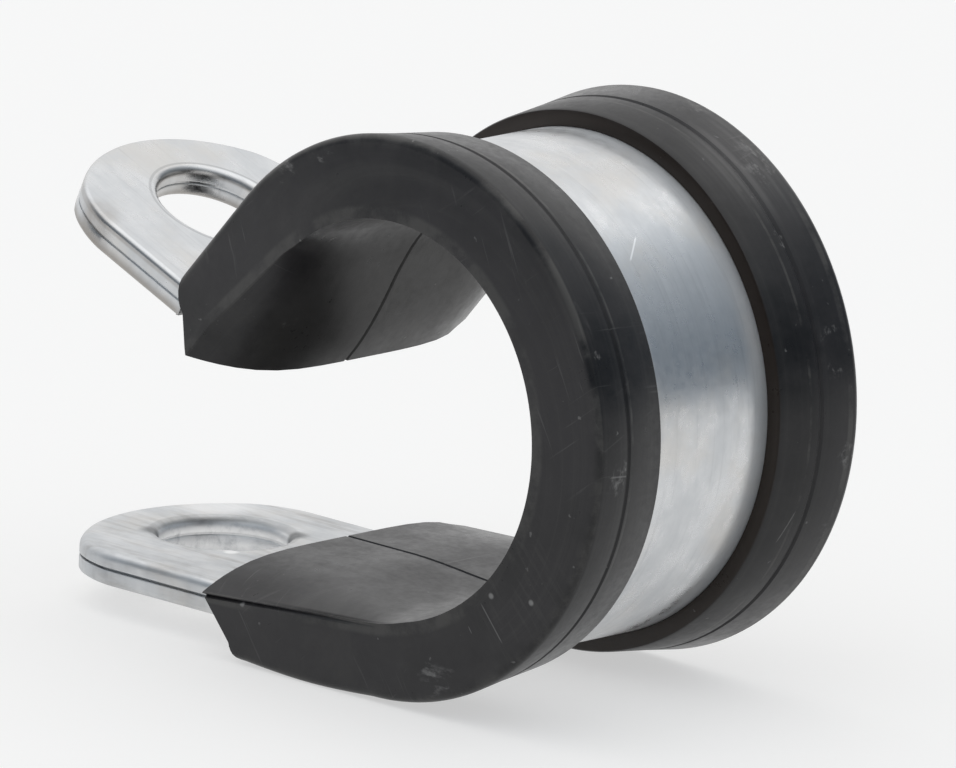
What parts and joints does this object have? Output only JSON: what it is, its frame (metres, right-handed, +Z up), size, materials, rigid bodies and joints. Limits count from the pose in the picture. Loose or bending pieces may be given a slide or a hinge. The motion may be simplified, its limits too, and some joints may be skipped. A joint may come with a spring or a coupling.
{
  "type": "p clip",
  "caption": "Open P-shaped fixing clip: a bent steel strip lined with rubber, whose holed ears a screw draws together to hold a cable or pipe.",
  "frame": {"origin": "on the axis of the ring, at the middle of the strip's width", "axes": "+Y along the cable that the clip holds, +Z up, the ears point to -X and the lower ear is level"},
  "size_m": [0.0403, 0.0186, 0.0276],
  "materials": {
    "zinc_steel": "zinc plated, satin",
    "black_rubber": "moulded, matt with fine scuffs"
  },
  "bodies": {
    "root": {"steel_band": "zinc_steel", "rubber_liner": "black_rubber"}
  },
  "joints": []
}
